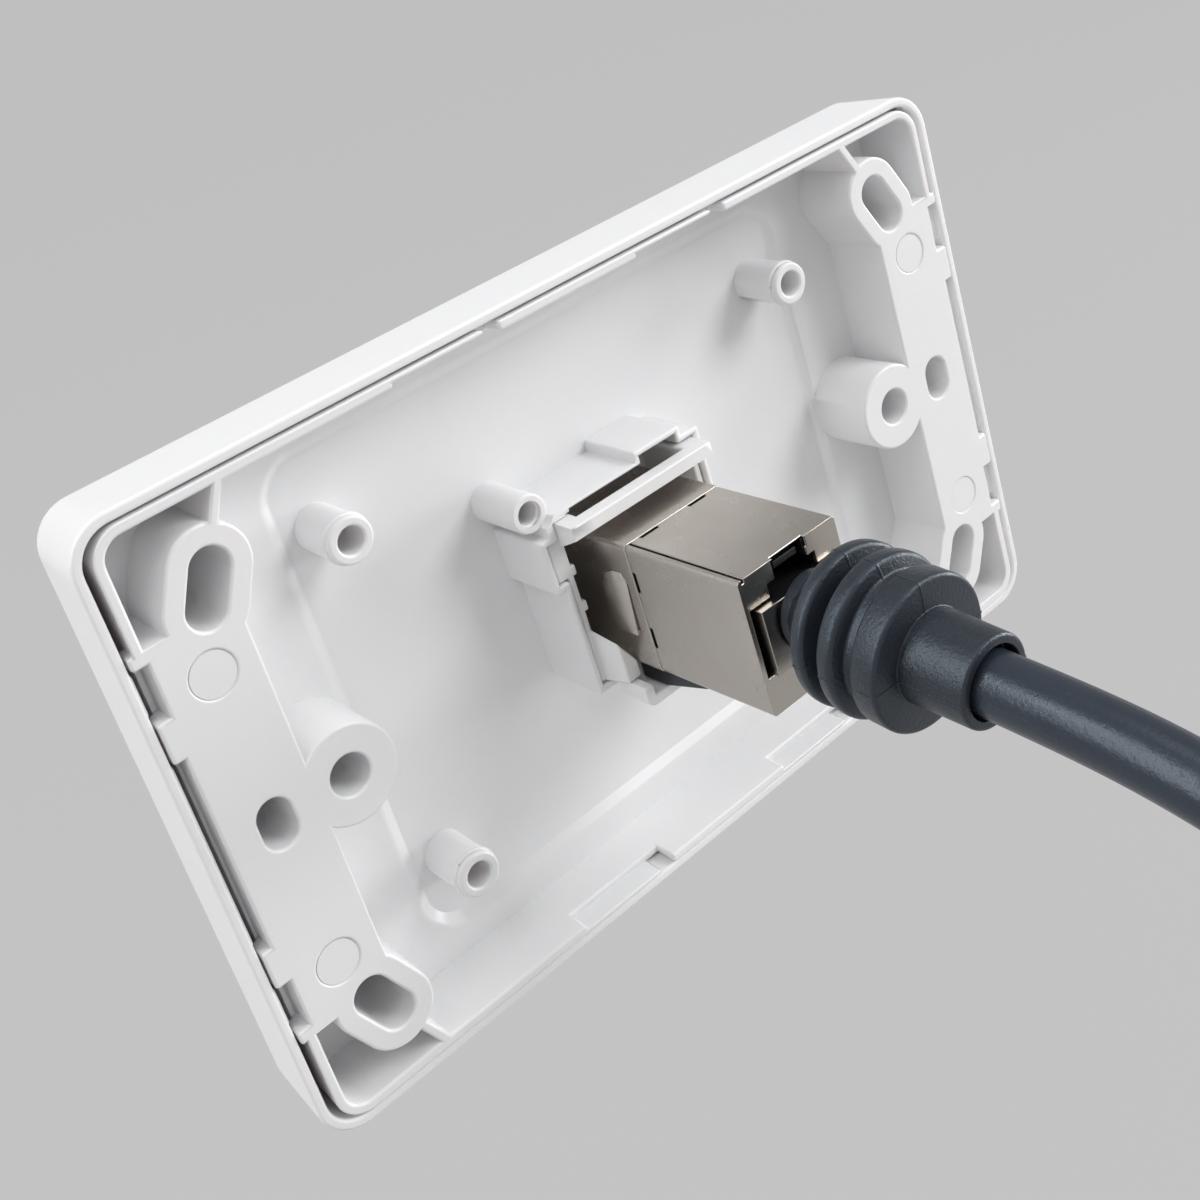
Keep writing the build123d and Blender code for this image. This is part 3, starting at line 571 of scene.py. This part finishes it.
# Boot: three discs on a flaring neck and a sleeve round the cable, with the mould's parting lines
bootSizes = {
    "front": (4.9, 3.7, 1.6),  # half width, half height and chamfer of the front block, mm
    "profile": [  # along the boot, radius (0 where the front block's outline holds), rounding
        (0.0, 0.0, 0.25),
        (1.6, 0.0, 0.5),
        (4.9, 6.9, 0.4),
        (5.25, 8.35, 0.6),
        (6.75, 8.45, 0.6),
        (7.3, 5.5, 0.6),
        (8.0, 5.5, 0.4),
        (8.55, 8.4, 0.65),
        (10.3, 8.5, 0.7),
        (10.8, 6.85, 0.4),
        (11.85, 6.7, 0.06),
        (11.9, 6.3, 0.06),
        (12.2, 6.3, 0.06),
        (12.3, 7.95, 0.35),
        (15.3, 8.0, 0.5),
        (15.4, 4.82, 0.12),
        (22.8, 4.7, 0.45),
        (22.8, 3.72, 0.12),
        (21.3, 3.66, 0.1),
        (21.3, 3.46, 0.05),
        (4.0, 3.46, 0.05),
        (4.0, 4.0, 0.05),
        (0.0, 4.0, 0.05),
    ],
    "outside": 4.4,  # radius beyond which the moulding's outer face lies
    "place": (0.0, 25.15, 1.6),
    "bend": (2.0, 12.0),  # along the boot, where it turns from the plug's line to the cable's
    "turn": -6.0,  # degrees
    "bendSteps": 40,
    "steps": 5,  # in each rounding
    "around": 120,
    "seams": (0.0, 180.0, 90.0),  # degrees from +X
    "seamWidth": 0.1,
    "seamHeight": 0.09,
    "seamRadius": 8.0,  # where the seam's width is measured
}


def roundedLine(corners, steps):
    # Replaces each corner of a closed line by an arc, which takes up at most about half of each side
    count = len(corners)
    points = []
    for index in range(count):
        here = Vector(corners[index][:2])
        before = Vector(corners[index - 1][:2])
        after = Vector(corners[(index + 1) % count][:2])
        toBefore = (before - here).normalized()
        toAfter = (after - here).normalized()
        half = toBefore.angle(toAfter) / 2
        shorter = min((before - here).length, (after - here).length)
        reach = min(corners[index][2] / math.tan(half), 0.48 * shorter)
        radius = reach * math.tan(half)
        middle = here + (toBefore + toAfter).normalized() * (radius / math.sin(half))
        first = here + toBefore * reach - middle
        last = here + toAfter * reach - middle
        sweep = first.angle_signed(last)
        for step in range(steps + 1):
            turn = -sweep * step / steps
            arm = Vector((
                first.x * math.cos(turn) - first.y * math.sin(turn),
                first.x * math.sin(turn) + first.y * math.cos(turn),
            ))
            points.append(middle + arm)
    return points


def frontOutline(angle, sizes):
    # Distance from the axis to the chamfered block in that direction
    halfWide, halfHigh, cut = sizes
    across = max(abs(math.cos(angle)), 1e-6)
    upward = max(abs(math.sin(angle)), 1e-6)
    return min(halfWide / across, halfHigh / upward, (halfWide + halfHigh - cut) / (across + upward))


def bentAxis(along, bend):
    # Point and direction of the boot's middle line, which turns by bend radians between two places
    start, end = bootSizes["bend"]
    count = bootSizes["bendSteps"]
    y = z = turn = 0.0
    for step in range(count):
        share = max(0.0, min(1.0, (along * (step + 0.5) / count - start) / (end - start)))
        turn = bend * share * share * (3 - 2 * share)
        y += math.cos(turn) * along / count
        z += math.sin(turn) * along / count
    return y, z, turn


def makeBoot(name, nodeName, place, bend):
    sizes = bootSizes
    start = (sizes["front"][0] + sizes["front"][1]) / 2
    corners = [(along, radius or start, rounding) for along, radius, rounding in sizes["profile"]]
    line = roundedLine(corners, sizes["steps"])
    blend = sizes["profile"][2][0]
    angles = [360.0 * step / sizes["around"] for step in range(sizes["around"])]
    for seam in sizes["seams"]:
        width = math.degrees(sizes["seamWidth"] / sizes["seamRadius"])
        # close steps across the seam, and room for them between the even ones
        angles = [angle for angle in angles if abs((angle - seam + 180) % 360 - 180) > 2.2 * width]
        angles += [(seam + offset * width) % 360 for offset in (-2, -1, 0, 1, 2)]
    angles.sort()
    verts = []
    for index, point in enumerate(line):
        ahead = line[(index + 1) % len(line)] - line[index - 1]
        normal = Vector((-ahead.y, ahead.x)).normalized()
        share = max(0.0, min(1.0, point.x / blend))
        outside = point.y > sizes["outside"]
        for angle in angles:
            turn = math.radians(angle)
            radius = point.y
            if outside and share < 1:
                radius += (1 - share) * (frontOutline(turn, sizes["front"]) - start)
            along = point.x
            if outside and any(abs((angle - seam + 180) % 360 - 180) < 0.01 for seam in sizes["seams"]):
                along += normal.x * sizes["seamHeight"]
                radius += normal.y * sizes["seamHeight"]
            y, z, tilt = bentAxis(along, bend)
            rise = radius * math.sin(turn)
            verts.append(place @ Vector((
                radius * math.cos(turn), y - rise * math.sin(tilt), z + rise * math.cos(tilt),
            )) * mm)
    rings = len(line)
    count = len(angles)
    faces = []
    for ring in range(rings):
        for step in range(count):
            a = ring * count + step
            b = ring * count + (step + 1) % count
            c = ((ring + 1) % rings) * count + (step + 1) % count
            d = ((ring + 1) % rings) * count + step
            faces.append((a, b, c, d))
    mesh = bpy.data.meshes.new(name)
    mesh.from_pydata(verts, [], faces)
    work = bmesh.new()
    work.from_mesh(mesh)
    bmesh.ops.remove_doubles(work, verts=work.verts, dist=0.001 * mm)
    bmesh.ops.recalc_face_normals(work, faces=work.faces)
    work.to_mesh(mesh)
    work.free()
    mesh.shade_smooth()
    mesh.materials.append(materials["boot_plastic"])
    boot = bpy.data.objects.new(name, mesh)
    bpy.context.scene.collection.objects.link(boot)
    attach(boot, "lead")
    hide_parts(nodeName)
    print(name, "modelled")
    return boot


makeBoot(
    "bootMoulding", "plug_boot",
    Matrix.Translation(Vector(bootSizes["place"])), math.radians(bootSizes["turn"]),
)
farLow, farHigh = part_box("far_boot")
farFoot = Vector(((farLow.x + farHigh.x) / 2, (farLow.y + farHigh.y) / 2, farLow.z)) / mm
makeBoot(
    "farBootMoulding", "far_boot",
    Matrix.Translation(farFoot) @ Matrix.Rotation(math.radians(90), 4, "X"), 0.0,
)


# Cable: one smooth line from inside the boot, through the coil, to the far boot
cableSizes = {
    "diameter": 6.6,
    "length": 1040.0,
    "route": [
        (0.0, 31.5, 1.13),
        (0.0, 50.5, -0.2),
        (0.0, 69.0, -3.2),
        (0.6, 88.0, -10.5),
        (1.9, 103.0, -26.0),
        (2.9, 111.0, -47.0),
        (3.3, 113.4, -71.0),
        (3.35, 113.6, -104.0),
    ],
    "turns": 4,
    "pointsPerTurn": 16,
    "shift": 0.35,  # the last share of each turn, where the strands change places
    "tail": (0.35, 0.7, 1.0),  # shares of the way down to the far boot
}


def coilPoints():
    # Four strands lie two by two; at the end of each turn they step round the bundle by a quarter
    low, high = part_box("cable_coil")
    middle = (low + high) / 2
    strand = cableSizes["diameter"] * mm / 2
    radius = (high.y - low.y) / 2 - 2 * strand
    count = cableSizes["pointsPerTurn"]
    flare = 2 / (1 + math.cos(math.pi / count))
    points = []
    for step in range(cableSizes["turns"] * count + 1):
        turn = step / count
        angle = turn * 2 * math.pi
        part = (turn % 1 - 1 + cableSizes["shift"]) / cableSizes["shift"]
        part = max(0.0, min(1.0, part))
        quarter = min(math.floor(turn), cableSizes["turns"] - 1) + part * part * (3 - 2 * part)
        if step >= (cableSizes["turns"] - 1) * count:
            quarter = cableSizes["turns"] - 1
        around = math.radians(45 - 90 * quarter)
        sideways = math.sqrt(2) * strand * math.cos(around)
        reach = (radius + math.sqrt(2) * strand * math.sin(around)) * flare
        points.append(Vector((
            middle.x + sideways,
            middle.y + reach * math.cos(angle),
            middle.z - reach * math.sin(angle),
        )))
    return points


def makeCable():
    # A curve with a round bevel; the first points lie inside the boot
    points = [Vector(point) * mm for point in cableSizes["route"]]
    coil = coilPoints()
    points += coil
    low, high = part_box("cable_tail")
    tailX = (low.x + high.x) / 2
    tailY = (low.y + high.y) / 2
    start = coil[-1].z
    for share in cableSizes["tail"]:
        points.append(Vector((tailX, tailY, start + (low.z - start) * share)))
    curve = bpy.data.curves.new("patchCable", "CURVE")
    curve.dimensions = "3D"
    curve.bevel_depth = cableSizes["diameter"] * mm / 2
    curve.bevel_resolution = 8
    curve.resolution_u = 10
    curve.use_fill_caps = True
    spline = curve.splines.new("NURBS")
    spline.points.add(len(points) - 1)
    for target, point in zip(spline.points, points):
        target.co = (*point, 1.0)
    spline.order_u = 3
    spline.use_endpoint_u = True
    cable = bpy.data.objects.new("patchCable", curve)
    bpy.context.scene.collection.objects.link(cable)
    curve.materials.append(materials["cable_jacket"])
    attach(cable, "lead")
    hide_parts("cable", "cable_coil", "cable_tail")
    print("cable laid")
    return cable


makeCable()


# Studio
studioSizes = {
    "floorDrop": 0.03,
    "floorRadius": 60.0,
    "backdrop": "#C4C3C3",
    "glow": 0.92,  # share of the floor's plain colour that the camera sees; the rest keeps the shadow
    "ambient": 0.38,
    "aim": (0, 0.02, 0),
    "lamps": {  # place in metres, disc size in metres, power in watts
        "keyLamp": ((-0.69, 0.76, 0.63), 0.6, 6.3),
        "sideLamp": ((-1.16, 0.31, -0.06), 0.6, 8.6),
        "leftLamp": ((1.08, -0.16, 0.5), 0.5, 3.4),
        "topLamp": ((0.47, 0.37, 1.05), 0.6, 2.2),
        "rimLamp": ((-0.34, 0.11, 1.15), 0.6, 1.2),
        "backLamp": ((0.68, -0.27, 0.82), 0.5, 3.6),
    },
}


def addLamp(name, place, size, power):
    data = bpy.data.lights.new(name, "AREA")
    data.shape = "DISK"
    data.size = size
    data.energy = power
    lamp = bpy.data.objects.new(name, data)
    bpy.context.scene.collection.objects.link(lamp)
    lamp.location = place
    aim = Vector(studioSizes["aim"]) - lamp.location
    lamp.rotation_euler = aim.to_track_quat("-Z", "Y").to_euler()
    return lamp


def cameraOrGloss(tree):
    # 1 where the camera sees the surface directly, in a reflection or through clear plastic
    path = addNode(tree, "ShaderNodeLightPath")
    first = addNode(tree, "ShaderNodeMath", {"operation": "MAXIMUM"},
                    {0: path.outputs["Is Camera Ray"], 1: path.outputs["Is Glossy Ray"]})
    second = addNode(tree, "ShaderNodeMath", {"operation": "MAXIMUM"},
                     {0: first.outputs[0], 1: path.outputs["Is Transmission Ray"]})
    return second.outputs[0]


def makeStudio():
    floorZ = cadBox[0][2] - studioSizes["floorDrop"]
    radius = studioSizes["floorRadius"]
    mesh = bpy.data.meshes.new("studioFloor")
    corners = [(-radius, -radius), (radius, -radius), (radius, radius), (-radius, radius)]
    mesh.from_pydata([(x, y, floorZ) for x, y in corners], [], [(0, 1, 2, 3)])
    floor = bpy.data.objects.new("studioFloor", mesh)
    bpy.context.scene.collection.objects.link(floor)
    material, tree = newMaterial("paintedFloor")
    matt = addNode(tree, "ShaderNodeBsdfDiffuse", {"Color": linear(studioSizes["backdrop"])})
    glow = addNode(tree, "ShaderNodeEmission", {"Color": linear(studioSizes["backdrop"]), "Strength": 1.0})
    share = addNode(tree, "ShaderNodeMath", {"operation": "MULTIPLY", 1: studioSizes["glow"]},
                    {0: cameraOrGloss(tree)})
    mix = addNode(tree, "ShaderNodeMixShader",
                  links={0: share.outputs[0], 1: matt.outputs[0], 2: glow.outputs[0]})
    closeMaterial(tree, mix.outputs[0])
    mesh.materials.append(material)

    world = bpy.data.worlds.new("studioWorld")
    bpy.context.scene.world = world
    world.use_nodes = True
    tree = world.node_tree
    tree.nodes.clear()
    soft = addNode(tree, "ShaderNodeBackground",
                   {"Color": (1.0, 1.0, 1.0, 1.0), "Strength": studioSizes["ambient"]})
    shown = addNode(tree, "ShaderNodeBackground",
                    {"Color": linear(studioSizes["backdrop"]), "Strength": 1.0})
    path = addNode(tree, "ShaderNodeLightPath")
    mix = addNode(tree, "ShaderNodeMixShader",
                  links={0: path.outputs["Is Camera Ray"], 1: soft.outputs[0], 2: shown.outputs[0]})
    addNode(tree, "ShaderNodeOutputWorld", links={"Surface": mix.outputs[0]})
    for name, (place, size, power) in studioSizes["lamps"].items():
        addLamp(name, place, size, power)
    bpy.context.scene.view_settings.view_transform = "Standard"
    print("studio lit")


makeStudio()
